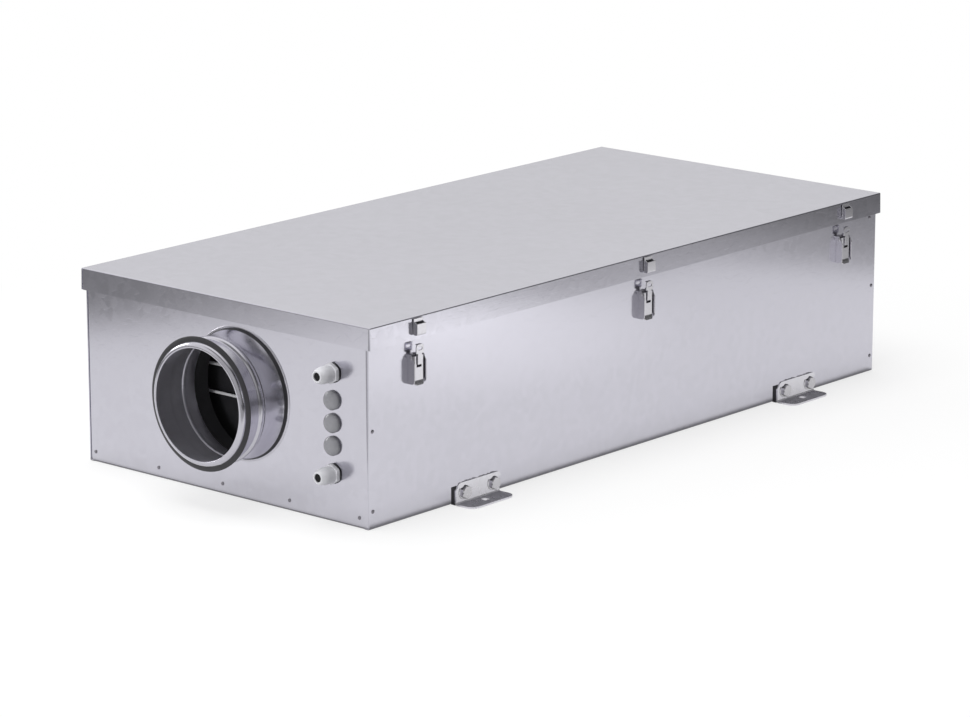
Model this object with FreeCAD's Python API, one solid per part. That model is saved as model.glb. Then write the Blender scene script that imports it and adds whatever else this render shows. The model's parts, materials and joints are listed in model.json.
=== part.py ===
import FreeCAD, Part
import math
import os

from FreeCAD import Vector

os.makedirs("parts", exist_ok=True)

# Casing, millimetres. X across, Y along the case, Z up, floor at Z = 0.
case_width = 499.0
case_length = 1066.0
case_height = 258.2
sheet = 1.5
top_flange = 18.0
corner_bend = 1.4
lining = 25.0

# Lid: a pan whose skirts hang over the walls.
lid_seat_gap = 0.3
lid_overhang_side = 6.5
lid_overhang_end = 3.0
skirt_height = 29.0
lid_bend = 2.0
insulation_gap = 6.0

# Round duct spigot: flange on the panel, flare, bead, rim turned in.
spigot_x = 28.5
spigot_drop = 119.7
spigot_radius = 79.5
spigot_reach = 77.5
spigot_wall = 1.2
spigot_hole_gap = 4.0
flange_radius = 88.0
flange_land = 4.0
flange_edge = 2.2
flare_bulge = 1.9
flare_middle = 11.0
flare_end = 34.0
bead_height = 2.6
bead_centre = 42.5
bead_half = 5.5
rim_round = 5.0
rim_turn = 6.5

# Rubber ring on the spigot, with one leaning lip.
ring_gap = 0.3
ring_wall = 1.5
ring_width = 8.0
ring_from_rim = 5.2
lip_radius = 87.0
lip_root = 3.6
lip_tip = 1.2
lip_lean = 1.4

# Cable glands and blanking plugs in the front panel.
gland_inset = 59.5
gland_drop = 130.2
gland_offset = 65.0
cable_radius = 5.5
washer_radius = 13.0
washer_height = 2.0
gland_flats = 24.0
gland_hex = 5.0
gland_collar = 11.3
gland_collar_end = 16.0
gland_dome = 10.3
gland_dome_reach = 24.0
gland_tip = 8.0
gland_reach = 30.0
plug_shift = 1.0
plug_pitch = 29.4
plug_radius = 12.5
plug_rim = 3.6
plug_height = 8.6
plug_shoulder = 9.4
plug_shoulder_reach = 7.2
plug_flat = 2.5

# Foot brackets on rubber pads.
foot_inset = 195.0
foot_width = 84.0
foot_height = 30.0
foot_reach = 31.0
foot_sheet = 2.5
foot_corner = 12.0
upright_corner = 7.2
pad_thickness = 7.0
pad_height = 24.0
pad_inset = 1.0
bolt_spacing = 56.0
bolt_z = 16.5
bolt_flats = 16.0
bolt_head = 6.4
bolt_washer_radius = 9.9
bolt_washer = 1.4
slot_radius = 4.5
slot_length = 14.0

# Toggle latches: channel base on the wall, lever between its cheeks, hook.
front_latch_inset = 84.5
middle_latch_y = 8.0
rear_latch_inset = 82.5
pivot_out = 5.0
pivot_drop = 50.2
pin_radius = 1.5
pin_clearance = 0.4
base_width = 23.0
base_below = 34.0
base_above = 4.0
base_sheet = 1.0
cheek_out = 11.0
cheek_corner = 3.0
cheek_slope = 5.5
cheek_slope_drop = 10.0
pin_end = 0.8
lever_width = 18.0
lever_below = 35.5
lever_above = 2.0
lever_tail = 6.0
lever_out = 8.6
lever_sheet = 1.2
lever_edge = 1.0
notch_width = 10.4
notch_below = 22.0
hook_width = 8.0
hook_out = 10.4
hook_pivot_out = 6.0
hook_pivot_below = 6.0
hook_sheet = 1.2
head_width = 14.0
head_low = 4.8
head_high = 16.8
head_corner = 4.0
head_lip = 3.4
eye_half = 2.4
eye_radius = 2.0
eye_below_top = 5.4

# Keepers on the lid skirt.
keeper_width = 17.0
keeper_rise = 6.0
keeper_height = 21.0
keeper_lip = 15.0
keeper_out = 7.0
keeper_sheet = 1.3

# Filter cassette behind the front spigot.
filter_gap = 6.5
filter_side_gap = 1.0
filter_top_gap = 6.0
filter_depth = 18.0
filter_frame_bar = 14.0
filter_medium_depth = 40.0
filter_bar_radius = 2.0
lower_bar_drop = 20.5
upper_bar_rise = 17.0

# Cutters start and stop this far outside what they cut.
past = 1.0

# Sizes that follow from the ones above.
half_width = case_width / 2
half_length = case_length / 2
inner_width = half_width - sheet
inner_length = half_length - sheet
cavity_half_width = inner_width - lining
cavity_half_length = inner_length - lining
lining_low = sheet + lining
lining_top = case_height - sheet

spigot_z = case_height - spigot_drop
spigot_hole = spigot_radius + spigot_hole_gap

lid_underside = case_height + lid_seat_gap
lid_top = lid_underside + sheet
lid_half_width = half_width + lid_overhang_side
lid_half_length = half_length + lid_overhang_end
skirt_low_z = lid_top - skirt_height

gland_x = half_width - gland_inset
gland_mid_z = case_height - gland_drop
gland_z = (gland_mid_z - gland_offset, gland_mid_z + gland_offset)
plug_x = gland_x - plug_shift

foot_y = half_length - foot_inset
foot_back = half_width + pad_thickness
foot_front = foot_back + foot_sheet
foot_tip = foot_back + foot_reach

latch_y = (front_latch_inset - half_length, middle_latch_y, half_length - rear_latch_inset)
pivot_x = half_width + pivot_out
pivot_z = case_height - pivot_drop
lever_x = half_width + lever_out
lever_low_z = pivot_z - lever_below
lever_high_z = pivot_z + lever_above
hook_pivot_x = half_width + hook_pivot_out
hook_pivot_z = pivot_z - hook_pivot_below
hook_x = half_width + hook_out
head_low_z = pivot_z + head_low
head_high_z = pivot_z + head_high
keeper_low_z = skirt_low_z + keeper_rise

filter_y = filter_gap - cavity_half_length
filter_half = cavity_half_width - filter_side_gap
filter_high_z = lid_underside - lining - filter_top_gap
filter_bar_z = (spigot_z - lower_bar_drop, spigot_z + upper_bar_rise)

close = 0.1


def box(x0, x1, y0, y1, z0, z1):
    """Block between two opposite corners."""
    return Part.makeBox(x1 - x0, y1 - y0, z1 - z0, Vector(x0, y0, z0))


def rod(start, direction, radius, length):
    """Round bar from a point along a direction."""
    return Part.makeCylinder(radius, length, Vector(*start), Vector(*direction))


def hexagon(start, direction, flats, length):
    """Six-sided prism along a direction, a given size across its flats."""
    corner = flats / math.sqrt(3.0)
    points = []
    for step in range(7):
        turn = math.radians(60.0 * step + 30.0)
        points.append(Vector(corner * math.cos(turn), corner * math.sin(turn), 0.0))
    prism = Part.Face(Part.makePolygon(points)).extrude(Vector(0, 0, length))
    prism.Placement = FreeCAD.Placement(Vector(*start), FreeCAD.Rotation(Vector(0, 0, 1), Vector(*direction)))
    return prism


def turned(edges, x, z, end):
    """Solid of revolution about a line along Y at one end of the case.

    Each edge is a list of two or three (radius, reach) points; reach is
    measured outward from the end panel, end is -1 at the front, 1 at the back.
    """
    face_y = end * half_length
    lines = []
    for edge in edges:
        points = [Vector(x + radius, face_y + end * reach, z) for radius, reach in edge]
        if len(points) == 2:
            lines.append(Part.makeLine(points[0], points[1]))
        else:
            lines.append(Part.Arc(points[0], points[1], points[2]).toShape())
    profile = Part.Face(Part.Wire(lines))
    solid = profile.revolve(Vector(x, 0, z), Vector(0, 1, 0), 360)
    if solid.Volume < 0:
        solid.reverse()
    return solid


def closed(points):
    """Straight edges joining a ring of points."""
    return [[points[i], points[(i + 1) % len(points)]] for i in range(len(points))]


def extruded(points, start_y, width):
    """Profile in the X-Z plane, extruded along Y."""
    ring = [Vector(x, start_y, z) for x, z in points]
    ring.append(ring[0])
    return Part.Face(Part.makePolygon(ring)).extrude(Vector(0, width, 0))


def mirrored(shape):
    """The same piece on the left side of the case."""
    return shape.mirror(Vector(0, 0, 0), Vector(1, 0, 0))


def save(name, shapes):
    """Write one named piece, made of one or several solids."""
    solids = []
    for shape in shapes:
        solids.extend(shape.Solids)
    whole = solids[0] if len(solids) == 1 else Part.makeCompound(solids)
    whole.exportStep("parts/" + name + ".step")


def side_panel():
    wall = box(inner_width, half_width, -half_length, half_length, 0, case_height)
    flange = box(half_width - top_flange, inner_width, -inner_length, inner_length, lining_top, case_height)
    return wall.fuse(flange).removeSplitter()


def end_panel(end):
    y0, y1 = sorted((end * half_length, end * inner_length))
    panel = box(-inner_width, inner_width, y0, y1, 0, case_height)
    face_y = end * half_length
    corners = []
    for edge in panel.Edges:
        middle = edge.CenterOfMass
        if abs(middle.y - face_y) < close and abs(middle.x) > inner_width - close:
            corners.append(edge)
    panel = panel.makeFillet(corner_bend, corners)
    panel = panel.cut(rod((spigot_x, y0 - past, spigot_z), (0, 1, 0), spigot_hole, sheet + 2 * past))
    if end < 0:
        for z in gland_z:
            panel = panel.cut(rod((gland_x, y0 - past, z), (0, 1, 0), cable_radius, sheet + 2 * past))
    return panel


def end_lining(end):
    y0, y1 = sorted((end * inner_length, end * cavity_half_length))
    slab = box(-inner_width, inner_width, y0, y1, lining_low, lining_top)
    return slab.cut(rod((spigot_x, y0 - past, spigot_z), (0, 1, 0), spigot_hole, lining + 2 * past))


def spigot(end):
    outer = spigot_radius
    inner = spigot_radius - spigot_wall
    bead_low = bead_centre - bead_half
    bead_high = bead_centre + bead_half
    rim = spigot_reach - rim_round
    turn = outer - rim_round
    mouth = outer - rim_turn
    outer_slant = rim_round * 0.5 ** 0.5
    inner_slant = (rim_round - spigot_wall) * 0.5 ** 0.5
    root = flange_radius - flange_land
    edge = flange_radius - flange_edge
    edges = [
        [(root, 0), (flange_radius, 0)],
        [(flange_radius, 0), (flange_radius, spigot_wall)],
        [(flange_radius, spigot_wall), (edge, spigot_wall)],
        [(edge, spigot_wall), (outer + flare_bulge, flare_middle), (outer, flare_end)],
        [(outer, flare_end), (outer, bead_low)],
        [(outer, bead_low), (outer + bead_height, bead_centre), (outer, bead_high)],
        [(outer, bead_high), (outer, rim)],
        [(outer, rim), (turn + outer_slant, rim + outer_slant), (turn, spigot_reach)],
        [(turn, spigot_reach), (mouth, spigot_reach)],
        [(mouth, spigot_reach), (mouth, spigot_reach - spigot_wall)],
        [(mouth, spigot_reach - spigot_wall), (turn, spigot_reach - spigot_wall)],
        [(turn, spigot_reach - spigot_wall), (turn + inner_slant, rim + inner_slant), (inner, rim)],
        [(inner, rim), (inner, bead_high)],
        [(inner, bead_high), (inner + bead_height, bead_centre), (inner, bead_low)],
        [(inner, bead_low), (inner, flare_end)],
        [(inner, flare_end), (inner + flare_bulge, flare_middle), (root, 0)],
    ]
    return turned(edges, spigot_x, spigot_z, end)


def gasket(end):
    bore = spigot_radius + ring_gap
    back = bore + ring_wall
    high = spigot_reach - ring_from_rim
    low = high - ring_width
    points = [(bore, low), (bore, high), (back, high)]
    points.append((lip_radius, high - lip_lean))
    points.append((lip_radius, high - lip_lean - lip_tip))
    points.append((back, high - lip_root))
    points.append((back, low))
    return turned(closed(points), spigot_x, spigot_z, end)


def gland(z):
    hex_end = washer_height + gland_hex
    hexed = hexagon((gland_x, -half_length - washer_height, z), (0, -1, 0), gland_flats, gland_hex)
    dome = [
        [(cable_radius, hex_end), (gland_collar, hex_end)],
        [(gland_collar, hex_end), (gland_collar, gland_collar_end)],
        [(gland_collar, gland_collar_end), (gland_dome, gland_dome_reach), (gland_tip, gland_reach)],
        [(gland_tip, gland_reach), (cable_radius, gland_reach)],
        [(cable_radius, gland_reach), (cable_radius, hex_end)],
    ]
    nut = turned(dome, gland_x, z, -1)
    bore = rod((gland_x, -half_length - gland_reach, z), (0, 1, 0), cable_radius, gland_reach)
    return hexed.cut(bore).fuse(nut).removeSplitter()


def gland_washer(z):
    ring = [(cable_radius, 0), (washer_radius, 0), (washer_radius, washer_height)]
    ring.append((cable_radius, washer_height))
    return turned(closed(ring), gland_x, z, -1)


def plug(z):
    edges = [
        [(0, 0), (plug_radius, 0)],
        [(plug_radius, 0), (plug_radius, plug_rim)],
        [(plug_radius, plug_rim), (plug_shoulder, plug_shoulder_reach), (plug_flat, plug_height)],
        [(plug_flat, plug_height), (0, plug_height)],
        [(0, plug_height), (0, 0)],
    ]
    return turned(edges, plug_x, z, -1)


def foot_bracket(y):
    low = y - foot_width / 2
    high = y + foot_width / 2
    upright = box(foot_back, foot_front, low, high, 0, foot_height)
    short = foot_sheet + close
    tops = [e for e in upright.Edges if abs(e.CenterOfMass.z - foot_height) < close and e.Length < short]
    upright = upright.makeFillet(upright_corner, tops)
    foot = box(foot_back, foot_tip, low, high, 0, foot_sheet)
    tips = [e for e in foot.Edges if abs(e.CenterOfMass.x - foot_tip) < close and e.Length < short]
    foot = foot.makeFillet(foot_corner, tips)
    centre = (foot_front + foot_tip) / 2
    straight = slot_length / 2 - slot_radius
    slot = box(centre - straight, centre + straight, y - slot_radius, y + slot_radius,
               -past, foot_sheet + past)
    for step in (-straight, straight):
        slot = slot.fuse(rod((centre + step, y, -past), (0, 0, 1), slot_radius, foot_sheet + 2 * past))
    return upright.fuse(foot).cut(slot).removeSplitter()


def foot_pad(y):
    half = foot_width / 2 - pad_inset
    return box(half_width, foot_back, y - half, y + half, 0, pad_height)


def foot_bolt(y):
    washer = rod((foot_front, y, bolt_z), (1, 0, 0), bolt_washer_radius, bolt_washer)
    head = hexagon((foot_front + bolt_washer, y, bolt_z), (1, 0, 0), bolt_flats, bolt_head)
    return washer.fuse(head).removeSplitter()


def latch_plate(y):
    half = base_width / 2
    return box(half_width, half_width + base_sheet, y - half, y + half,
               pivot_z - base_below, pivot_z + base_above)


def latch_cheek(low_y):
    root = half_width + base_sheet
    edge = half_width + cheek_out
    low = pivot_z - base_below
    high = pivot_z + base_above
    points = [
        (root, low), (edge - cheek_corner, low), (edge, low + cheek_corner),
        (edge, high - cheek_slope_drop), (edge - cheek_slope, high), (root, high),
    ]
    cheek = extruded(points, low_y, base_sheet)
    bore = pin_radius + pin_clearance
    return cheek.cut(rod((pivot_x, low_y - past, pivot_z), (0, 1, 0), bore, base_sheet + 2 * past))


def latch_cheeks(y):
    return [latch_cheek(y - base_width / 2), latch_cheek(y + base_width / 2 - base_sheet)]


def latch_lever(y):
    half = lever_width / 2
    web_x = lever_x - lever_sheet
    web = box(web_x, lever_x, y - half, y + half, lever_low_z, lever_high_z)
    notch = box(web_x - past, lever_x + past, y - notch_width / 2, y + notch_width / 2,
                pivot_z - notch_below, lever_high_z + past)
    body = web.cut(notch)
    flange_x = pivot_x - pin_radius - lever_edge
    for low in (y - half, y + half - lever_sheet):
        flange = box(flange_x, web_x, low, low + lever_sheet, lever_low_z + lever_tail, lever_high_z)
        body = body.fuse(flange)
    pin_half = base_width / 2 + pin_end
    pivot_pin = rod((pivot_x, y - pin_half, pivot_z), (0, 1, 0), pin_radius, 2 * pin_half)
    hook_pin = rod((hook_pivot_x, y - half, hook_pivot_z), (0, 1, 0), pin_radius, lever_width)
    return body.fuse(pivot_pin).fuse(hook_pin).removeSplitter()


def latch_hook(y):
    low_y = y - hook_width / 2
    high_y = y + hook_width / 2
    bore_radius = pin_radius + pin_clearance
    boss_radius = bore_radius + hook_sheet
    web_x = hook_x - hook_sheet
    boss_low = hook_pivot_z - boss_radius
    strip = box(web_x, hook_x, low_y, high_y, boss_low, head_low_z)
    web = box(hook_pivot_x, web_x, low_y, high_y, boss_low, hook_pivot_z + boss_radius)
    boss = rod((hook_pivot_x, low_y, hook_pivot_z), (0, 1, 0), boss_radius, hook_width)
    bore = rod((hook_pivot_x, low_y - past, hook_pivot_z), (0, 1, 0), bore_radius, hook_width + 2 * past)
    half = head_width / 2
    head = box(web_x, hook_x, y - half, y + half, head_low_z, head_high_z)
    tops = [e for e in head.Edges if e.CenterOfMass.z > head_high_z - close
            and abs(e.CenterOfMass.y - y) > half - close]
    head = head.makeFillet(head_corner, tops)
    eye_z = head_high_z - eye_below_top
    start = web_x - past
    reach = hook_sheet + 2 * past
    eye = box(start, start + reach, y - eye_half, y + eye_half, eye_z - eye_radius, eye_z + eye_radius)
    for side in (-eye_half, eye_half):
        eye = eye.fuse(rod((start, y + side, eye_z), (1, 0, 0), eye_radius, reach))
    lip = box(web_x - head_lip, web_x, low_y, high_y, head_high_z - hook_sheet, head_high_z)
    arm = strip.fuse(web).fuse(boss).cut(bore)
    return arm.fuse(head.cut(eye)).fuse(lip).removeSplitter()


def keeper(y):
    skirt = lid_half_width
    lip = skirt + keeper_out
    lip_z = keeper_low_z + keeper_lip
    points = [
        (skirt, keeper_low_z), (lip, keeper_low_z), (lip, lip_z), (lip - keeper_sheet, lip_z),
        (lip - keeper_sheet, keeper_low_z + keeper_sheet),
        (skirt + keeper_sheet, keeper_low_z + keeper_sheet),
        (skirt + keeper_sheet, keeper_low_z + keeper_height),
        (skirt, keeper_low_z + keeper_height),
    ]
    return extruded(points, y - keeper_width / 2, keeper_width)


def lid_panel():
    outer = box(-lid_half_width, lid_half_width, -lid_half_length, lid_half_length, skirt_low_z, lid_top)
    bends = [e for e in outer.Edges if e.CenterOfMass.z > lid_top - close]
    outer = outer.makeFillet(lid_bend, bends)
    hollow = box(-lid_half_width + sheet, lid_half_width - sheet, -lid_half_length + sheet,
                 lid_half_length - sheet, skirt_low_z - past, lid_underside)
    return outer.cut(hollow)


def lid_insulation():
    half_x = cavity_half_width - insulation_gap
    half_y = cavity_half_length - insulation_gap
    return box(-half_x, half_x, -half_y, half_y, lid_underside - lining, lid_underside)


def filter_frame():
    y1 = filter_y + filter_depth
    window_half = filter_half - filter_frame_bar
    frame = box(-filter_half, filter_half, filter_y, y1, lining_low, filter_high_z)
    window = box(-window_half, window_half, filter_y - past, y1 + past,
                 lining_low + filter_frame_bar, filter_high_z - filter_frame_bar)
    return frame.cut(window)


def filter_medium():
    y0 = filter_y + filter_depth
    return box(-filter_half, filter_half, y0, y0 + filter_medium_depth, lining_low, filter_high_z)


def filter_bar(z):
    half = filter_half - filter_frame_bar
    return rod((-half, filter_y + filter_depth / 2, z), (1, 0, 0), filter_bar_radius, 2 * half)


right_panel = side_panel()
save("right_side_panel", [right_panel])
save("left_side_panel", [mirrored(right_panel)])
save("floor_panel", [box(-inner_width, inner_width, -inner_length, inner_length, 0, sheet)])
save("front_end_panel", [end_panel(-1)])
save("back_end_panel", [end_panel(1)])

save("floor_lining", [box(-inner_width, inner_width, -inner_length, inner_length, sheet, lining_low)])
right_lining = box(cavity_half_width, inner_width, -cavity_half_length, cavity_half_length,
                   lining_low, lining_top)
save("right_lining", [right_lining])
save("left_lining", [mirrored(right_lining)])
save("front_lining", [end_lining(-1)])
save("back_lining", [end_lining(1)])

save("front_spigot", [spigot(-1)])
save("back_spigot", [spigot(1)])
save("front_spigot_gasket", [gasket(-1)])
save("back_spigot_gasket", [gasket(1)])

save("cable_glands", [gland(z) for z in gland_z])
save("gland_washers", [gland_washer(z) for z in gland_z])
save("blanking_plugs", [plug(gland_mid_z + step * plug_pitch) for step in (-1, 0, 1)])

for end_name, foot_at in (("front", -foot_y), ("back", foot_y)):
    bracket = foot_bracket(foot_at)
    pad = foot_pad(foot_at)
    save(end_name + "_right_foot_bracket", [bracket])
    save(end_name + "_left_foot_bracket", [mirrored(bracket)])
    save(end_name + "_right_foot_pad", [pad])
    save(end_name + "_left_foot_pad", [mirrored(pad)])
bolts = []
for foot_at in (-foot_y, foot_y):
    for step in (-bolt_spacing / 2, bolt_spacing / 2):
        bolt = foot_bolt(foot_at + step)
        bolts.extend([bolt, mirrored(bolt)])
save("foot_bolts", bolts)

latch_names = ("front", "middle", "rear")
plates = [latch_plate(y) for y in latch_y]
cheeks = [cheek for y in latch_y for cheek in latch_cheeks(y)]
levers = [latch_lever(y) for y in latch_y]
hooks = [latch_hook(y) for y in latch_y]
save("right_latch_plates", plates)
save("right_latch_cheeks", cheeks)
save("left_latch_plates", [mirrored(s) for s in plates])
save("left_latch_cheeks", [mirrored(s) for s in cheeks])
for name, lever, hook in zip(latch_names, levers, hooks):
    save(name + "_latch_lever", [lever])
    save(name + "_latch_hook", [hook])
save("left_latch_levers", [mirrored(s) for s in levers])
save("left_latch_hooks", [mirrored(s) for s in hooks])

save("lid_panel", [lid_panel()])
save("lid_insulation", [lid_insulation()])
keepers = [keeper(y) for y in latch_y]
save("right_keepers", keepers)
save("left_keepers", [mirrored(s) for s in keepers])

save("filter_frame", [filter_frame()])
save("filter_medium", [filter_medium()])
save("filter_bars", [filter_bar(z) for z in filter_bar_z])
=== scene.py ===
import json
import math

import bmesh
import bpy
import numpy as np
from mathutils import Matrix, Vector


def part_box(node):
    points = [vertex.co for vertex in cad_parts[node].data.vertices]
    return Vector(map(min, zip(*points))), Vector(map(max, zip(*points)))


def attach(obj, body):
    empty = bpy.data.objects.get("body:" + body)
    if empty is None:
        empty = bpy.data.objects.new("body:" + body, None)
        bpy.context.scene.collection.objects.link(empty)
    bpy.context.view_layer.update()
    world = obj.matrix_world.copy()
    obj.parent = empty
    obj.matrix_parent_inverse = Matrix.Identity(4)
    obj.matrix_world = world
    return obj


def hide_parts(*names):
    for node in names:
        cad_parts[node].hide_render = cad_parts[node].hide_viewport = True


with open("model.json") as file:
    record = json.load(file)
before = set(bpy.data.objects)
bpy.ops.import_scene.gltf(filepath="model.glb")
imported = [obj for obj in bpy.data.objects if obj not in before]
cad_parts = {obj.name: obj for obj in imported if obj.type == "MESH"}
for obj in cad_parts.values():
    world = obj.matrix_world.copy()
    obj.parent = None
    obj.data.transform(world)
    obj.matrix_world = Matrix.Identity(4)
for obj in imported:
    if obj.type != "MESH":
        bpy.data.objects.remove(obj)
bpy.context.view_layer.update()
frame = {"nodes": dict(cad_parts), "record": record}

nodes = frame["nodes"]


def boxMm(node):  # lowest and highest corner of a node, in millimetres
    low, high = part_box(node)
    return np.array(low) * 1000, np.array(high) * 1000


# sheets of points and what becomes of them


def sheet(points, closeRows=False, closeCols=False, keep=None):
    # a grid of rows by columns; quad (i, j) joins point (i, j) to the next row and the next column
    rows, cols = points.shape[:2]
    i = np.arange(rows if closeRows else rows - 1)[:, None]
    j = np.arange(cols if closeCols else cols - 1)[None, :]
    place = lambda a, b: (a % rows) * cols + b % cols
    quads = np.stack([place(i, j), place(i + 1, j), place(i + 1, j + 1), place(i, j + 1)], -1)
    quads = quads[keep] if keep is not None else quads.reshape(-1, 4)
    return points.reshape(-1, 3), quads.tolist()


def cap(points):  # one flat face on a ring of points
    return points, [list(range(len(points)))]


def joined(patches):
    points, faces, first = [], [], 0
    for some, theirs in patches:
        points.append(some)
        faces += [[k + first for k in face] for face in theirs]
        first += len(some)
    return np.concatenate(points), faces


def mirroredX(patch):  # the same patch on the other side of the case, turned so it still faces out
    return patch[0] * np.array([-1, 1, 1]), [face[::-1] for face in patch[1]]


def toLeft(patches):
    return [mirroredX(patch) for patch in patches]


def mirroredY(patch):
    return patch[0] * np.array([1, -1, 1]), [face[::-1] for face in patch[1]]


def along(start, end, steps):
    return np.linspace(start, end, steps + 1)


def corner(centre, radius, fromDeg, toDeg, steps=6):
    # points on an arc: centre plus radius times (cosine, sine)
    a = np.radians(along(fromDeg, toDeg, steps))
    return np.stack([centre[0] + radius * np.cos(a), centre[1] + radius * np.sin(a)], -1)


def ringOf(profile, x, z, faceY, end, steps=96, closed=True):
    # a profile of (radius, reach) turned about a line along Y; reach is measured outward from faceY
    profile = np.asarray(profile, float)
    t = np.linspace(0, 2 * np.pi, steps, endpoint=False)[None, :]
    radius, reach = profile[:, :1], profile[:, 1:]
    points = np.stack([x + radius * np.cos(t), faceY + end * reach + 0 * t, z + radius * np.sin(t)], -1)
    return sheet(points, closeRows=closed, closeCols=True)


def addPiece(name, patches, body, slot, replaced=(), wall=0.0, edge=0.0, sharp=35):
    # puts the patches, given in millimetres, into one mesh: seams welded, faces outward
    points, faces = joined(patches)
    mesh = bpy.data.meshes.new(name)
    mesh.from_pydata((points * 0.001).tolist(), [], faces)
    work = bmesh.new()
    work.from_mesh(mesh)
    bmesh.ops.remove_doubles(work, verts=work.verts, dist=2e-6)
    bmesh.ops.dissolve_degenerate(work, edges=work.edges, dist=1e-7)
    bmesh.ops.recalc_face_normals(work, faces=work.faces)
    work.to_mesh(mesh)
    work.free()
    mesh.polygons.foreach_set("use_smooth", np.ones(len(mesh.polygons), bool))
    mesh.set_sharp_from_angle(angle=math.radians(sharp))
    piece = bpy.data.objects.new(name, mesh)
    bpy.context.scene.collection.objects.link(piece)
    piece.data.materials.append(finishes[slot])
    if wall:
        solid = piece.modifiers.new("wall", "SOLIDIFY")
        solid.thickness = wall * 0.001
        solid.offset = -1
        solid.use_even_offset = True
    if edge:
        bevel = piece.modifiers.new("edge", "BEVEL")
        bevel.width = edge * 0.001
        bevel.segments = 2
        bevel.limit_method = "ANGLE"
        bevel.angle_limit = math.radians(40)
        even = piece.modifiers.new("shading", "WEIGHTED_NORMAL")
        even.keep_sharp = not wall
    if replaced:
        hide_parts(*replaced)
    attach(piece, body)
    return piece


# finishes


def newMaterial(name):
    material = bpy.data.materials.new(name)
    material.use_nodes = True
    tree = material.node_tree
    shader = tree.nodes["Principled BSDF"]
    return material, tree, shader


def addNode(tree, kind, **values):
    node = tree.nodes.new(kind)
    for key, value in values.items():
        setattr(node, key, value)
    return node


def setInputs(node, **values):
    for key, value in values.items():
        node.inputs[key.replace("_", " ")].default_value = value
    return node


def newGroup(name, inputs, outputs):
    group = bpy.data.node_groups.new(name, "ShaderNodeTree")
    for label, kind, value in inputs:
        socket = group.interface.new_socket(label, in_out="INPUT", socket_type=kind)
        if value is not None:
            socket.default_value = value
    for label, kind in outputs:
        group.interface.new_socket(label, in_out="OUTPUT", socket_type=kind)
    return group, group.nodes.new("NodeGroupInput"), group.nodes.new("NodeGroupOutput")


def maths(tree, operation, a, b=0.5, clamp=False):
    node = addNode(tree, "ShaderNodeMath", operation=operation, use_clamp=clamp)
    for socket, value in zip(node.inputs, (a, b)):
        if hasattr(value, "links"):
            tree.links.new(value, socket)
        else:
            socket.default_value = value
    return node.outputs[0]


def spangleGroup():
    # zinc crystals: distorted cells, each a little lighter or darker, with fine rolled streaks over them
    group, given, made = newGroup(
        "zincSpangle",
        [("Cell", "NodeSocketFloat", 90.0), ("Streak", "NodeSocketFloat", 1.0),
         ("Contrast", "NodeSocketFloat", 0.05)],
        [("Tint", "NodeSocketFloat"), ("Shine", "NodeSocketFloat"), ("Height", "NodeSocketFloat")])
    link = group.links.new
    where = group.nodes.new("ShaderNodeTexCoord").outputs["Object"]
    warp = setInputs(addNode(group, "ShaderNodeTexNoise"), Scale=40.0, Detail=2.0, Roughness=0.6)
    link(where, warp.inputs["Vector"])
    push = addNode(group, "ShaderNodeVectorMath", operation="MULTIPLY_ADD")
    link(warp.outputs["Color"], push.inputs[0])
    push.inputs[1].default_value = (0.012, 0.012, 0.012)
    link(where, push.inputs[2])
    cells = addNode(group, "ShaderNodeTexVoronoi")
    link(push.outputs[0], cells.inputs["Vector"])
    link(given.outputs["Cell"], cells.inputs["Scale"])
    grey = addNode(group, "ShaderNodeSeparateColor")
    link(cells.outputs["Color"], grey.inputs[0])
    long = addNode(group, "ShaderNodeMapping")
    long.inputs["Scale"].default_value = (900, 18, 900)
    link(where, long.inputs["Vector"])
    streak = setInputs(addNode(group, "ShaderNodeTexNoise"), Scale=1.0, Detail=3.0, Roughness=0.55)
    link(long.outputs[0], streak.inputs["Vector"])
    cloud = setInputs(addNode(group, "ShaderNodeTexNoise"), Scale=5.0, Detail=4.0, Roughness=0.55)
    link(where, cloud.inputs["Vector"])
    lines = maths(group, "SUBTRACT", streak.outputs["Fac"], 0.5)
    lines = maths(group, "MULTIPLY", lines, given.outputs["Streak"])
    spread = maths(group, "ADD", maths(group, "SUBTRACT", grey.outputs[0], 0.5), lines)
    clouds = maths(group, "SUBTRACT", cloud.outputs["Fac"], 0.5)
    both = maths(group, "ADD", spread, clouds)
    tint = maths(group, "ADD", maths(group, "MULTIPLY", both, given.outputs["Contrast"]), 1.0)
    link(tint, made.inputs["Tint"])
    link(maths(group, "ADD", maths(group, "MULTIPLY", both, 0.5), 0.5, True), made.inputs["Shine"])
    height = maths(group, "ADD", maths(group, "MULTIPLY", spread, 0.35), cloud.outputs["Fac"])
    link(height, made.inputs["Height"])
    return group


def makeFadeGroup():
    # a mask that is 1 at the floor and fades upward, broken up by noise
    group, given, made = newGroup(
        "floorFade", [("Reach", "NodeSocketFloat", 0.05), ("Amount", "NodeSocketFloat", 0.3)],
        [("Mask", "NodeSocketFloat")])
    link = group.links.new
    where = group.nodes.new("ShaderNodeTexCoord").outputs["Object"]
    parts = addNode(group, "ShaderNodeSeparateXYZ")
    link(where, parts.inputs[0])
    height = maths(group, "DIVIDE", parts.outputs["Z"], given.outputs["Reach"])
    fade = maths(group, "SUBTRACT", 1.0, height, True)
    noise = setInputs(addNode(group, "ShaderNodeTexNoise"), Scale=35.0, Detail=5.0, Roughness=0.6)
    link(where, noise.inputs["Vector"])
    mask = maths(group, "MULTIPLY", fade, noise.outputs["Fac"])
    link(maths(group, "MULTIPLY", mask, given.outputs["Amount"]), made.inputs["Mask"])
    return group


def mixColour(tree, factor, first, second, blend="MIX"):
    node = addNode(tree, "ShaderNodeMix", data_type="RGBA", blend_type=blend)
    for socket, value in ((node.inputs[0], factor), (node.inputs[6], first), (node.inputs[7], second)):
        if hasattr(value, "links"):
            tree.links.new(value, socket)
        else:
            socket.default_value = value
    return node.outputs[2]


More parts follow.
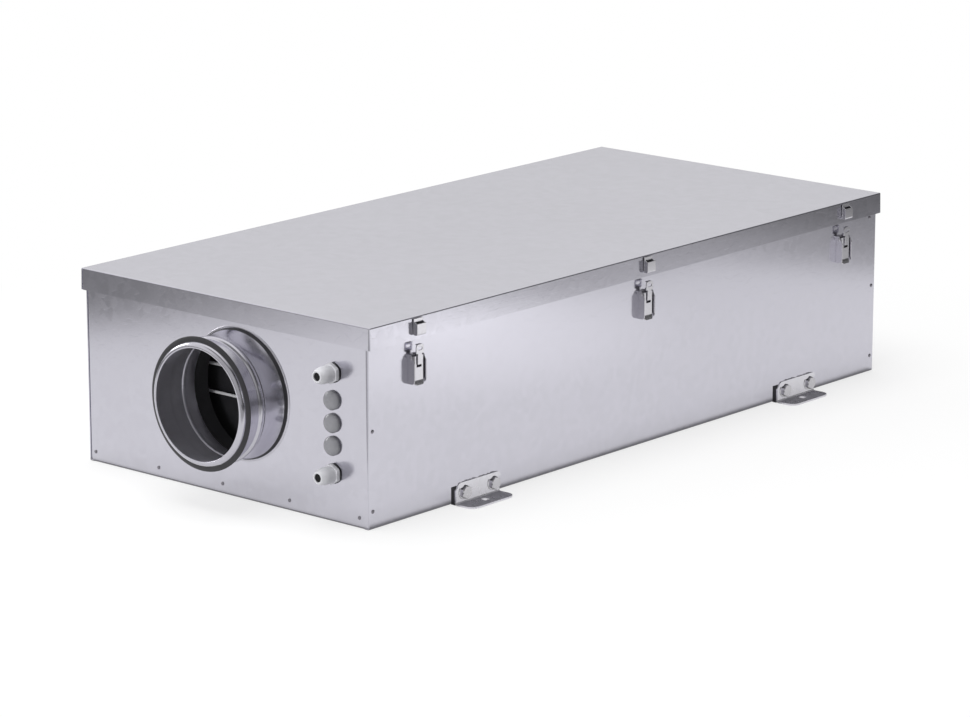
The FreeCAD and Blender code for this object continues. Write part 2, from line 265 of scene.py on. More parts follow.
def rangeOf(tree, value, low, high, fromLow=0.0, fromHigh=1.0):
    node = addNode(tree, "ShaderNodeMapRange")
    tree.links.new(value, node.inputs["Value"])
    setInputs(node, From_Min=fromLow, From_Max=fromHigh, To_Min=low, To_Max=high)
    return node.outputs[0]


def rampOf(tree, value, stops):
    # grey values at positions from 0 to 1, joined smoothly
    node = addNode(tree, "ShaderNodeValToRGB")
    while len(node.color_ramp.elements) < len(stops):
        node.color_ramp.elements.new(0.5)
    for point, (at, grey) in zip(node.color_ramp.elements, stops):
        point.position = at
        point.color = (grey, grey, grey, 1)
    tree.links.new(value, node.inputs[0])
    return node.outputs["Color"]


def addBump(tree, shader, height, strength, distance):
    bump = setInputs(addNode(tree, "ShaderNodeBump"), Strength=strength, Distance=distance)
    tree.links.new(height, bump.inputs["Height"])
    tree.links.new(bump.outputs[0], shader.inputs["Normal"])


def metalFinish(name, look):
    material, tree, shader = newMaterial(name)
    setInputs(shader, Metallic=look.get("metal", 1.0))
    grain = addNode(tree, "ShaderNodeGroup", node_tree=spangle)
    setInputs(grain, Cell=look["cell"], Streak=look["streak"], Contrast=look["contrast"])
    fadeNode = addNode(tree, "ShaderNodeGroup", node_tree=fadeGroup)
    setInputs(fadeNode, Reach=look["fadeReach"], Amount=look["fadeAmount"])
    tinted = mixColour(tree, 1.0, (*look["colour"], 1), grain.outputs["Tint"], "MULTIPLY")
    # darker and rougher toward the floor, broken up by noise
    dulled = mixColour(tree, fadeNode.outputs["Mask"], tinted, (*look["fadeColour"], 1))
    tree.links.new(dulled, shader.inputs["Base Color"])
    rough = rangeOf(tree, grain.outputs["Shine"], look["smooth"], look["rough"])
    rough = maths(tree, "ADD", rough, maths(tree, "MULTIPLY", fadeNode.outputs["Mask"], 0.3))
    tree.links.new(rough, shader.inputs["Roughness"])
    addBump(tree, shader, grain.outputs["Height"], look["bump"], look["depth"])
    return material


def plasticFinish(name, look):
    # moulded plastic: fine grain in the bump, faint clouds in the colour
    material, tree, shader = newMaterial(name)
    where = tree.nodes.new("ShaderNodeTexCoord").outputs["Object"]
    cloud = setInputs(addNode(tree, "ShaderNodeTexNoise"), Scale=look["cloud"], Detail=3.0)
    grain = setInputs(addNode(tree, "ShaderNodeTexNoise"), Scale=look["grain"], Detail=2.0)
    tree.links.new(where, cloud.inputs["Vector"])
    tree.links.new(where, grain.inputs["Vector"])
    colour = mixColour(tree, cloud.outputs["Fac"], (*look["dark"], 1), (*look["light"], 1))
    rough = rangeOf(tree, grain.outputs["Fac"], look["smooth"], look["rough"])
    tree.links.new(colour, shader.inputs["Base Color"])
    tree.links.new(rough, shader.inputs["Roughness"])
    addBump(tree, shader, grain.outputs["Fac"], look["bump"], look["depth"])
    return material


spangle = spangleGroup()
fadeGroup = makeFadeGroup()

sheetLook = {
    "colour": (0.665, 0.655, 0.725), "cell": 95.0, "streak": 0.5, "contrast": 0.035, "smooth": 0.12,
    "rough": 0.2, "bump": 0.12, "depth": 0.0006, "fadeReach": 0.03, "fadeAmount": 0.25,
    "fadeColour": (0.42, 0.41, 0.42),
}
spigotLook = dict(sheetLook, colour=(0.60, 0.59, 0.65), cell=160.0, smooth=0.13, rough=0.22, bump=0.1)
liningLook = {
    "dark": (0.010, 0.010, 0.012), "light": (0.022, 0.021, 0.024), "cloud": 60.0, "grain": 900.0,
    "smooth": 0.75, "rough": 0.95, "bump": 0.6, "depth": 0.001,
}
latchLook = dict(
    sheetLook, colour=(0.68, 0.67, 0.71), cell=400.0, contrast=0.03, smooth=0.14, rough=0.24, bump=0.05)
finishes = {
    "sheet": metalFinish("galvanisedSheet", sheetLook),
    "spigot": metalFinish("pressedSpigot", spigotLook),
    # the spigot's inside: a darker, duller copy of the spigot finish, painted shade
    "bore": metalFinish("shadedBoreCopy", dict(
        spigotLook, colour=(0.54, 0.53, 0.59), metal=0.85, smooth=0.32, rough=0.38, bump=0.03)),
    "bar": metalFinish("filterBar", dict(
        spigotLook, colour=(0.78, 0.78, 0.80), metal=0.3, smooth=0.4, rough=0.55)),
    "latch": metalFinish("platedLatch", latchLook),
    "bolt": metalFinish("platedBolt", dict(latchLook, colour=(0.62, 0.61, 0.64), rough=0.3)),
    # rivets: dark grey plated metal, painted shade standing in for the shadowed rim round each rivet
    "rivet": metalFinish("rivetPaintedShade", dict(latchLook, colour=(0.27, 0.26, 0.29), smooth=0.25, rough=0.4)),
    "foot": metalFinish("thickBracket", dict(
        sheetLook, colour=(0.80, 0.79, 0.84), metal=0.9, smooth=0.22, rough=0.27, bump=0.03)),
    "rubber": plasticFinish("blackRubber", {
        "dark": (0.012, 0.012, 0.014), "light": (0.024, 0.023, 0.027), "cloud": 90.0, "grain": 1200.0,
        "smooth": 0.36, "rough": 0.52, "bump": 0.15, "depth": 0.0003}),
    # gland bores: near black, darker than the rubber, painted shade
    "hole": plasticFinish("glandBoreSeal", {
        "dark": (0.003, 0.003, 0.004), "light": (0.006, 0.006, 0.007), "cloud": 90.0, "grain": 900.0,
        "smooth": 0.75, "rough": 0.9, "bump": 0.1, "depth": 0.0003}),
    "gland": plasticFinish("glandPlastic", {
        "dark": (0.53, 0.53, 0.56), "light": (0.60, 0.60, 0.63), "cloud": 60.0, "grain": 1500.0,
        "smooth": 0.3, "rough": 0.42, "bump": 0.08, "depth": 0.0002}),
    "plug": plasticFinish("plugPlastic", {
        "dark": (0.20, 0.20, 0.215), "light": (0.25, 0.25, 0.27), "cloud": 80.0, "grain": 1500.0,
        "smooth": 0.2, "rough": 0.3, "bump": 0.05, "depth": 0.0002}),
    "lining": plasticFinish("foamLining", liningLook),
}
nodeFinish = {
    "black_rubber": "rubber", "dark_lining": "lining", "galvanised_sheet": "sheet",
    "zinc_plated_steel": "latch", "light_grey_plastic": "gland", "mid_grey_plastic": "plug",
}
for part in frame["record"]["subparts"]:
    kept = nodes[part["node"]].data
    kept.materials.clear()
    bare = part["node"] == "filter_bars"
    kept.materials.append(finishes["bar" if bare else nodeFinish[part["material_slot"]]])
print("finishes ready")


# lid: one sheet with quarter-round bends, its end skirts folded back behind the side skirts

sheetEdge = 0.3
lidLook = {"sheet": 1.5, "bend": 1.2, "return": 2.6, "flange": 8.0, "guard": 0.7, "steps": 5, "lean": 0.7}


def bentEdge(half, bend, drop, guard, steps, lean):
    # places inward from the outer face, and their heights below the flat: leaning skirt, quarter circle, flat
    a = np.radians(along(0, 90, steps))
    top, slope = half - lean, lean / max(drop - bend, guard)
    leaning = [half, half - slope * guard, top + slope * guard]
    place = np.concatenate([leaning, top - bend * (1 - np.cos(a)), [top - bend - guard]])
    height = np.concatenate([[-drop, -drop + guard, -bend - guard], -bend * (1 - np.sin(a)), [0]])
    return place, height


def makeLid():
    low, high = boxMm("lid_panel")
    look = lidLook
    drop = high[2] - low[2]
    x, hx = bentEdge(high[0], look["bend"], drop, look["guard"], look["steps"], look["lean"])
    flat = high[0] - look["return"] - look["sheet"]
    inside = np.array([flat, 0.6 * flat, 0.2 * flat])
    x = np.concatenate([x, inside])
    hx = np.concatenate([hx, 0 * inside])
    x, hx = np.concatenate([-x, x[::-1]]), np.concatenate([hx, hx[::-1]])
    y, hy = bentEdge(high[1], look["bend"], look["bend"], look["guard"], look["steps"], look["lean"])
    y, hy = y[3:], hy[3:]
    inside = np.array([0.95, 0.6, 0.2]) * high[1]
    y = np.concatenate([y, inside])
    hy = np.concatenate([hy, 0 * inside])
    y, hy = np.concatenate([-y, y[::-1]]), np.concatenate([hy, hy[::-1]])
    top = np.stack([x[None, :] + 0 * y[:, None], y[:, None] + 0 * x[None, :],
                    high[2] + np.minimum(hx[None, :], hy[:, None])], -1)
    main = sheet(top)
    # end skirt: the flat columns of the top carried down, then a return bend and a flange at each side
    r = look["return"]
    a = np.radians(along(0, 90, look["steps"]))[1:]
    fx = x[np.abs(x) <= flat + 0.01]
    tail = np.concatenate([flat + r * np.sin(a), [flat + r]])
    depth = np.concatenate([r * (1 - np.cos(a)), [r + look["flange"]]])
    px = np.concatenate([-tail[::-1], fx, tail])
    py = np.concatenate([depth[::-1], 0 * fx, depth])
    z = np.array([-look["bend"], -look["bend"] - look["guard"], -drop + look["guard"], -drop]) + high[2]
    leaning = look["lean"] * (z - low[2]) / (drop - look["bend"])
    skirt = sheet(np.stack([px[None, :] + 0 * z[:, None], -high[1] + py[None, :] + leaning[:, None],
                            z[:, None] + 0 * px[None, :]], -1))
    addPiece("lidPan", [main, skirt, mirroredY(skirt)], "lid", "sheet", ("lid_panel",),
             wall=look["sheet"], edge=sheetEdge)


makeLid()
print("lid done")


# side walls: flat face, bent in at the bottom, flanged at the top under the lid

wallLook = {"sheet": 1.5, "bend": 2.2, "topBend": 2.0, "topFlange": 18.0, "foot": 6.0, "guard": 0.7}


def makeWalls():
    high = boxMm("right_side_panel")[1]
    look = wallLook
    out, top, end = high[0], high[2], high[1]
    b, t, g = look["bend"], look["topBend"], look["guard"]
    line = np.concatenate([
        [[out - b - look["foot"], 0.0]], corner((out - b, b), b, -90, 0), [[out, b + g]],
        [[out, 0.5 * top], [out, top - t - g]], corner((out - t, top - t), t, 0, 90),
        [[out - t - g, top], [out - look["topFlange"], top]]])
    y = np.concatenate([
        [-end, -end + look["sheet"]], along(-end + 20, end - 20, 6), [end - look["sheet"], end]])
    points = np.stack([line[None, :, 0] + 0 * y[:, None], y[:, None] + 0 * line[None, :, 0],
                       line[None, :, 1] + 0 * y[:, None]], -1)
    keep = np.ones((len(y) - 1, len(line) - 1), bool)
    keep[[0, -1], -2:] = False
    wall = sheet(points, keep=keep)
    for side, patch in (("right", wall), ("left", mirroredX(wall))):
        node = side + "_side_panel"
        addPiece(side + "Wall", [patch], "casing", "sheet", (node,), wall=look["sheet"], edge=sheetEdge)


makeWalls()


# end pans: flat face with its holes, edges rounded back inside the walls

panLook = {"sheet": 1.5, "sideBend": 3.0, "bottomBend": 2.4, "flange": 9.0, "guard": 0.7, "steps": 6}


def holeCell(xs, zs, centre, radius):
    # a rectangle with a round hole: the outer ring of points is drawn in to the circle along its own angles
    sides = ((xs[:-1], zs[:1]), (xs[-1:], zs[:-1]), (xs[:0:-1], zs[-1:]), (xs[:1], zs[:0:-1]))
    outer = np.concatenate([np.stack(np.broadcast_arrays(*side), -1) for side in sides])
    away = outer - centre
    inner = centre + away * (radius / np.hypot(away[:, 0], away[:, 1]))[:, None]
    return outer, inner


def makeEndPan(name, node, end, holes):
    low, high = boxMm(node)
    look = panLook
    half, top, face = high[0], high[2], max(abs(low[1]), abs(high[1]))
    s, b, steps = look["sideBend"], look["bottomBend"], look["steps"]
    a = np.radians(along(0, 90, steps))
    split = (holes[0][0][0] + holes[0][1] + high[0] - s) / 2 if len(holes) > 1 else 0.0
    inset = half - s - look["guard"]
    xFlat = np.concatenate([[s - half], along(-inset, split, 12), along(split, inset, 8)[1:], [half - s]])
    zMid = (holes[1][0][1] + holes[2][0][1]) / 2 if len(holes) > 1 else 0.5 * top
    zFlat = np.concatenate([[b], along(b + look["guard"], zMid, 8), along(zMid, top, 8)[1:]])
    x = np.concatenate([(half - s + s * np.sin(a[::-1])) * -1, xFlat[1:-1], half - s + s * np.sin(a)])
    dx = np.concatenate([s * (1 - np.cos(a[::-1])), 0 * xFlat[1:-1], s * (1 - np.cos(a))])
    z = np.concatenate([b - (b - 0.05) * np.sin(a[::-1]), zFlat[1:]])
    dz = np.concatenate([b * (1 - np.cos(a[::-1])), 0 * zFlat[1:]])
    x = np.concatenate([[x[0]], x, [x[-1]]])
    dx = np.concatenate([[s + look["flange"]], dx, [s + look["flange"]]])
    z = np.concatenate([[z[0]], z])
    dz = np.concatenate([[b + look["flange"]], dz])
    depth = np.maximum(dx[None, :], dz[:, None])
    grid = np.stack([x[None, :] + 0 * depth, -face + depth, z[:, None] + 0 * depth], -1)
    flatX = (np.abs(x[:-1] + x[1:]) / 2 < half - s)[None, :]
    flatZ = ((z[:-1] + z[1:]) / 2 > b)[:, None]
    cornerGap = ((np.arange(len(x) - 1) == 0) | (np.arange(len(x) - 1) == len(x) - 2))[None, :] & (
        np.arange(len(z) - 1) == 0)[:, None]
    patches = [sheet(grid, keep=~(flatX & flatZ) & ~cornerGap)]
    if len(holes) > 1:
        at = int(np.argmin(np.abs(xFlat - split)))
        mid = int(np.argmin(np.abs(zFlat - zMid)))
        cells = [(xFlat[:at + 1], zFlat, holes[0]), (xFlat[at:], zFlat[:mid + 1], holes[1]),
                 (xFlat[at:], zFlat[mid:], holes[2])]
    else:
        cells = [(xFlat, zFlat, holes[0])]
    for xs, zs, (centre, radius) in cells:
        outer, inner = holeCell(xs, zs, np.array(centre), radius)
        ring = np.stack([outer, inner])
        points = np.stack([ring[..., 0], np.full(ring.shape[:2], -face), ring[..., 1]], -1)
        patches.append(sheet(points, closeCols=True))
    if end > 0:
        patches = [mirroredY(patch) for patch in patches]
    addPiece(name, patches, "casing", "sheet", (node,), wall=look["sheet"], edge=sheetEdge)


spigotLow, spigotHigh = boxMm("front_spigot")
spigotX, spigotZ = (spigotLow[0] + spigotHigh[0]) / 2, (spigotLow[2] + spigotHigh[2]) / 2
panelFace = -boxMm("front_end_panel")[0][1]
glandLow, glandHigh = boxMm("gland_washers")
washerRadius = (glandHigh[0] - glandLow[0]) / 2
glandX = (glandLow[0] + glandHigh[0]) / 2
glandZ = (glandLow[2] + washerRadius, glandHigh[2] - washerRadius)
glandBore = 5.5
spigotHole = ((spigotX, spigotZ), 83.4)
makeEndPan("frontPan", "front_end_panel", -1, [spigotHole] + [((glandX, z), glandBore) for z in glandZ])
makeEndPan("backPan", "back_end_panel", 1, [spigotHole])
print("casing done")


# spigots: flange, flare, bead and a rim turned in, all one pressed wall

spigotShape = {
    "radius": 79.5, "wall": 1.2, "flange": 88.0, "flareTop": 85.8, "reach": 77.5, "bead": 2.6, "groove": 0.3,
    "beadAt": 42.5, "rimRound": 5.0, "mouth": 73.0, "ridge": 1.2,
}


def turned(profile, end):
    # a profile turned about the spigot's axis, from the end panel's outer face
    return ringOf(profile, spigotX, spigotZ, end * panelFace, end, 144)


def arcThrough(a, b, c, steps):
    # a circular arc from a through b to c, as points
    a, b, c = (np.asarray(p, float) for p in (a, b, c))
    centre = np.linalg.solve(np.array([b - a, c - a]), 0.5 * np.array([b @ b - a @ a, c @ c - a @ a]))
    turn = [math.atan2(*(p - centre)[::-1]) for p in (a, b, c)]
    sweep = (turn[2] - turn[0] + np.pi) % (2 * np.pi) - np.pi
    t = turn[0] + np.linspace(0, sweep, steps + 1)
    return centre + np.hypot(*(a - centre)) * np.stack([np.cos(t), np.sin(t)], -1)


def makeSpigot(name, node, end):
    k = spigotShape
    r, w, turn, rim = k["radius"], k["wall"], k["rimRound"], k["flange"]
    outer = np.concatenate([
        [[rim - 6.0, 0.0], [rim - 0.4, 0.0], [rim, 0.35], [rim, w - 0.3], [rim - 0.4, w]],
        arcThrough((k["flareTop"], w), (r + 1.9, 11.0), (r, 34.0), 14),
        arcThrough((r, 37.0), (r + k["bead"], k["beadAt"]), (r, 48.0), 12),
        [[r, 48.6], [r, 60.0], [r, 71.8]],
        corner((r - turn, k["reach"] - turn), turn, 0, 90, 12),
        corner((k["mouth"] + w / 2, k["reach"] - w / 2), w / 2, 90, 270, 6)])
    inner = np.concatenate([
        corner((r - turn, k["reach"] - turn), turn - w, 90, 0, 10),
        [[r - w, 71.8], [r - w, 60.0], [r - w, 48.6]],
        arcThrough((r - w, 48.0), (r - w + k["groove"], k["beadAt"]), (r - w, 37.0), 12),
        [[r - w, 29.0], [r - w, 26.6]],
        arcThrough((r - w, 26.0), (r - w - k["ridge"], 22.8), (r - w, 19.6), 10),
        arcThrough((r - w + 0.1, 18.0), (r - w + 1.2, 9.0), (r - w + 3.2, 0.0), 10)])
    # the inside is a thin liner of its own, set into the pressed wall; its finish is a darker, duller copy of
    # the spigot's, painted shade for the hollow
    profile = np.concatenate([outer, inner + np.array([0.35, 0.0])])
    liner = np.concatenate([[[r - w + 0.3, 72.2]], inner, inner[::-1] + np.array([0.3, 0.0])])
    addPiece(name, [turned(profile, end)], "casing", "spigot", (node,), sharp=50).visible_glossy = False
    addPiece(name + "Bore", [turned(liner, end)], "casing", "bore", sharp=50).visible_glossy = False


def makeFootShadeRing(name, end):
    # a black ring in the hollow of the flare's foot: painted shade, standing in for the dark reflection and
    # shadow the metal shows there
    line = np.concatenate([arcThrough((83.5, 6.3), (84.5, 4.1), (85.6, 1.9), 10), [[84.6, 1.4], [83.3, 5.4]]])
    addPiece(name, [turned(line, end)], "casing", "rubber", sharp=60).visible_glossy = False


def makeGasket(name, node, end):
    # ring wall with one leaning lip, its tip rounded
    bore, back, lip = 79.8, 81.3, 87.0
    high, low = 72.3, 64.3
    line = np.concatenate([
        [[bore, low + 0.4], [bore, high - 0.4], [bore + 0.4, high], [back, high], [lip - 0.7, high - 1.3]],
        corner((lip - 0.6, high - 2.0), 0.6, 80, -80, 6),
        [[back + 1.2, high - 3.4], [back, high - 4.0], [back, low + 0.5], [back - 0.4, low],
         [bore + 0.4, low]]])
    addPiece(name, [turned(line, end)], "casing", "rubber", (node,), sharp=60).visible_glossy = False


for side, end in (("front", -1), ("back", 1)):
    makeSpigot(side + "Spigot", side + "_spigot", end)
    makeGasket(side + "Gasket", side + "_spigot_gasket", end)
    # the black ring at each flare's foot is painted shade
    makeFootShadeRing(side + "Seal", end)
print("spigots done")


# cable glands, their washers and the blanking plugs

glandShape = {"flats": 24.0, "washer": 2.0, "hex": 5.0, "bore": glandBore}


def hexRing(flats, profile, centre, axis, steps=10):
    # six-sided radius, cut by the profile's own radius: the smaller of flats / 2 / cos(angle) and the cone
    t = np.linspace(0, 2 * np.pi, 6 * steps, endpoint=False)[None, :] + math.radians(30)
    six = flats / 2 / np.cos((t - math.radians(30)) % math.radians(60) - math.radians(30))
    profile = np.asarray(profile, float)
    radius, reach = np.minimum(profile[:, :1], six), profile[:, 1:] + 0 * t
    across, up = radius * np.cos(t), radius * np.sin(t)
    if axis == "y":
        points = np.stack([centre[0] + across, centre[1] - reach, centre[2] + up], -1)
    else:
        points = np.stack([centre[0] + reach, centre[1] + across, centre[2] + up], -1)
    return points


def makeGlands():
    k = glandShape
    nut, rings, bores = [], [], []
    for z in glandZ:
        base = k["washer"]
        profile = [[k["bore"], base], [13.3, base], [13.9, base + 0.5], [13.9, base + 3.3],
                   [12.7, base + k["hex"]], [11.4, base + k["hex"] + 0.1]]
        nut.append(sheet(hexRing(k["flats"], profile, (glandX, -panelFace, z), "y"), closeCols=True))
        dome = np.concatenate([
            [[11.4, base + k["hex"] + 0.1], [11.3, base + k["hex"] + 0.6], [11.3, 12.0], [11.2, 15.7]],
            arcThrough((11.2, 16.0), (10.25, 24.0), (8.0, 29.2), 10), [[7.6, 29.8], [7.0, 30.0], [6.1, 30.0]],
            [[5.6, 29.6], [5.4, 28.6], [5.4, 12.0], [k["bore"], base]]])
        nut.append(ringOf(dome, glandX, z, -panelFace, -1, 60, closed=False))
        washer = np.array([[5.6, 0.0], [12.4, 0.0], [13.0, 0.5], [13.0, 1.5], [12.4, 2.0], [5.6, 2.0]])
        rings.append(ringOf(washer, glandX, z, -panelFace, -1, 60))
        # a black seal disc deep in each bore, darker than the rubber: a seal, and painted shade so the bore
        # reads as a dark hole
        boreShadeDisc = np.array([[0.001, 8.0], [5.42, 8.0], [5.42, 28.2], [5.0, 28.7], [0.001, 28.7]])
        bores.append(ringOf(boreShadeDisc, glandX, z, -panelFace, -1, 40, closed=False))
    addPiece("glandNuts", nut, "casing", "gland", ("cable_glands",), sharp=28)
    addPiece("glandWashers", rings, "casing", "rubber", ("gland_washers",), sharp=50)
    addPiece("glandBoreShade", bores, "casing", "hole", sharp=50)
    plugs = []
    low, high = boxMm("blanking_plugs")
    radius = (high[0] - low[0]) / 2
    x = (low[0] + high[0]) / 2
    for z in np.linspace(low[2] + radius, high[2] - radius, 3):
        line = np.concatenate([[[0.001, 0.0], [12.3, 0.0], [12.5, 0.3], [12.5, 3.2], [12.3, 3.6]],
                               arcThrough((12.0, 4.1), (9.0, 7.2), (0.001, 8.6), 14)])
        plugs.append(ringOf(line, x, z, -panelFace, -1, 60))
    addPiece("blankingPlugs", plugs, "casing", "plug", ("blanking_plugs",), sharp=40)


makeGlands()
print("glands done")


# latches: channel base, lever and hook, on both sides; keepers on the lid's skirts

latchLookMm = {
    "baseHalf": 11.5, "baseSheet": 1.0, "leverHalf": 9.0, "leverOut": 8.6, "sheet": 1.2,
    "notchHalf": 4.6, "hookOut": 10.4, "headHalf": 7.0, "pin": 1.5, "pinOut": 5.0, "hookPinOut": 6.0,
    "hookPinDrop": 6.0, "edge": 0.25,
}
wallFace = boxMm("right_side_panel")[1][0]
leverBoxes = {name: boxMm(name + "_latch_lever") for name in ("front", "middle", "rear")}
latchAt = {name: (low[1] + high[1]) / 2 for name, (low, high) in leverBoxes.items()}
pivotZ = leverBoxes["front"][1][2] - 2.0


def plate(outline, low, high, axis="y"):
    # a closed outline in the X-Z plane (or the Y-Z plane) carried between two positions, with flat ends
    outline = np.asarray(outline, float)
    ends = []
    for at in (low, high):
        flat = np.full(len(outline), at)
        cols = (outline[:, 0], flat, outline[:, 1]) if axis == "y" else (flat, outline[:, 0], outline[:, 1])
        ends.append(np.stack(cols, -1))
    return [sheet(np.stack(ends), closeCols=True), cap(ends[0]), cap(ends[1])]


def pin(x, y, z, radius, half, head=0.0):
    # a round pin along Y with rounded ends
    line = np.array([[0.001, -half], [radius - 0.3, -half], [radius, -half + 0.3], [radius, half - 0.3],
                     [radius - 0.3, half], [0.001, half]])
    if head:
        wide = radius + head
        line = np.array([[0.001, -half], [wide - 0.5, -half], [wide, -half + 0.4], [radius, -half + 0.8],
                         [radius, half - 0.8], [wide, half - 0.4], [wide - 0.5, half], [0.001, half]])
    return ringOf(line, x, z, y, 1, 24, closed=False)


def roundedOutline(points, radii, steps=4):
    # each corner of a polygon is replaced by an arc that touches both of its sides
    points = np.asarray(points, float)
    out = []
    for k, radius in enumerate(radii):
        here, before, after = points[k], points[k - 1], points[(k + 1) % len(points)]
        if radius <= 0:
            out.append(here[None, :])
            continue
        u = (before - here) / np.linalg.norm(before - here)
        v = (after - here) / np.linalg.norm(after - here)
        half = math.acos(np.clip(u @ v, -1, 1)) / 2
        reach = radius / math.tan(half)
        middle = here + (u + v) / np.linalg.norm(u + v) * radius / math.sin(half)
        t = np.linspace(0, 1, steps + 1)[:, None]
        a, b = here + u * reach - middle, here + v * reach - middle
        turn = math.acos(np.clip(a @ b / radius ** 2, -1, 1))
        out.append(middle + (np.sin((1 - t) * turn) * a + np.sin(t * turn) * b) / math.sin(turn))
    return np.concatenate(out)


def latchBase(y):
    k = latchLookMm
    e = wallFace
    low, high = pivotZ - 34.0, pivotZ + 4.0
    line = roundedOutline([[e + 0.02, low], [e + 8.0, low], [e + 11.0, low + 3.0], [e + 11.0, high - 10.0],
                           [e + 5.5, high], [e + 0.02, high]], [0, 2.5, 2.5, 2.5, 1.5, 0])
    parts = []
    for side in (-k["baseHalf"], k["baseHalf"] - k["baseSheet"]):
        parts += plate(line, y + side, y + side + k["baseSheet"])
    half = k["baseHalf"] - 0.5
    back = [[y - half, low], [y + half, low], [y + half, high], [y - half, high]]
    return parts + plate(back, e + 0.02, e + k["baseSheet"], "x")


def latchLever(y):
    # a channel: flange, bend, web, bend, flange across Y, carried up Z; the notch for the hook is left out
    k = latchLookMm
    out, half, bend, notch = wallFace + k["leverOut"], k["leverHalf"], 1.8, k["notchHalf"]
    deep = wallFace + 2.6
    a = corner((out - bend, -half + bend), bend, 270, 360, 5)
    line = np.concatenate([
        [[deep, -half], [deep + 1.5, -half]], a, [[out, -notch], [out, -2.0], [out, 2.0], [out, notch]],
        np.stack([a[::-1, 0], -a[::-1, 1]], -1), [[deep + 1.5, half], [deep, half]]])
    z = np.array([-35.5, -34.6, -33.0, -29.5, -28.7, -22.6, -12.8, -11.6, -8.0, -2.0, 1.0, 2.0]) + pivotZ
    shrink = np.array([0.80, 0.93] + [1.0] * 10)
    lift = np.array([1.5, 1.2, 0.6, 0.1] + [0] * 8)
    points = np.stack([line[None, :, 0] + lift[:, None], y + line[None, :, 1] * shrink[:, None],
                       z[:, None] + 0 * line[None, :, 0]], -1)
    keep = np.ones((len(z) - 1, len(line) - 1), bool)
    keep[:3, [0, 1, -1, -2]] = False
    middle = (np.abs(line[:-1, 1] + line[1:, 1]) / 2 < notch) & (line[:-1, 0] > out - 0.1)
    keep[6:] &= ~middle
    return sheet(points, keep=keep)


def ovalIn(outline, centre, halfLength, radius):
    # every outline point is drawn in to an oval hole along its own angle from the hole's centre
    away = outline - centre
    c, s = (away / np.hypot(away[:, 0], away[:, 1])[:, None]).T
    straight = radius / np.maximum(np.abs(s), 1e-6)
    curved = halfLength * np.abs(c) + np.sqrt(np.maximum(radius ** 2 - (halfLength * s) ** 2, 0))
    reach = np.where(straight * np.abs(c) <= halfLength, straight, curved)
    return centre + np.stack([c, s], -1) * reach[:, None]


def eyePlate(outline, centre, halfLength, radius, xLow, xHigh, y):
    # plate with one oval hole
    inner = ovalIn(outline, centre, halfLength, radius)
    rings = []
    for at, line in ((xLow, inner), (xLow, outline), (xHigh, outline), (xHigh, inner)):
        rings.append(np.stack([np.full(len(line), at), y + line[:, 0], line[:, 1]], -1))
    return sheet(np.stack(rings), closeRows=True, closeCols=True)


def denser(outline, steps):
    # straight runs of the outline get more points, so that the hole drawn from them is smooth
    after = np.roll(outline, -1, axis=0)
    t = np.linspace(0, 1, steps, endpoint=False)[None, :, None]
    return (outline[:, None, :] * (1 - t) + after[:, None, :] * t).reshape(-1, 2)


def hookParts(y):
    # head with its eye, neck, a lip over the keeper, and a boss round the pin
    k = latchLookMm
    xHigh, half, neck = wallFace + k["hookOut"], k["headHalf"], 4
    xLow = xHigh - k["sheet"]
    low, shoulder, eyeZ = pivotZ - 9.1, pivotZ + 4.8, pivotZ + 11.4
    top = eyeZ + 5.4
    head = [[-half, shoulder], [half, shoulder], [half, top], [-half, top]]
    head = roundedOutline(head, [1.2, 1.2, 4.0, 4.0], 6)
    parts = [eyePlate(denser(head, 3), np.array([0.0, eyeZ]), 2.4, 2.0, xLow, xHigh, y)]
    stem = [[y - neck, low], [y + neck, low], [y + neck, shoulder + 0.3], [y - neck, shoulder + 0.3]]
    parts += plate(stem, xLow, xHigh, "x")
    near, far = xLow - 3.4, xLow + 0.2
    lip = roundedOutline([[near, top - 1.2], [far, top - 1.2], [far, top], [near, top]], [0.5, 0, 0, 0.5])
    parts += plate(lip, y - neck, y + neck)
    x, z, r = wallFace + k["hookPinOut"], pivotZ - k["hookPinDrop"], 3.1
    boss = [[[far, z + r]], corner((x, z), r, 90, 270, 12), [[far, z - r]]]
    return parts + plate(np.concatenate(boss), y - neck, y + neck)


def makeLatches():
    k = latchLookMm
    edge, wall = k["edge"], k["sheet"]
    bases, levers, hooks = [], [], []
    for name, y in latchAt.items():
        bases += latchBase(y)
        lever = latchLever(y)
        pins = [pin(wallFace + k["pinOut"], y, pivotZ, k["pin"], 12.3, 0.9),
                pin(wallFace + k["hookPinOut"], y, pivotZ - k["hookPinDrop"], k["pin"], 8.2)]
        node = name + "_latch_lever"
        addPiece(name + "LatchLever", [lever], node, "latch", (node,), wall=wall, edge=edge)
        addPiece(name + "LatchPins", pins, node, "bolt", (node,))
        node = name + "_latch_hook"
        hook = hookParts(y)
        addPiece(name + "LatchHook", hook, node, "latch", (node,), edge=edge)
        levers.append(lever)
        hooks += hook + pins
    for side, patches in (("right", bases), ("left", toLeft(bases))):
        nodes = (side + "_latch_plates", side + "_latch_cheeks")
        addPiece(side + "LatchBases", patches, "casing", "latch", nodes, edge=edge)
    levers = toLeft(levers)
    hooks = toLeft(hooks)
    addPiece("leftLatchLevers", levers, "casing", "latch", ("left_latch_levers",), wall=wall, edge=edge)
    addPiece("leftLatchHooks", hooks, "casing", "latch", ("left_latch_hooks",), edge=edge)


makeLatches()


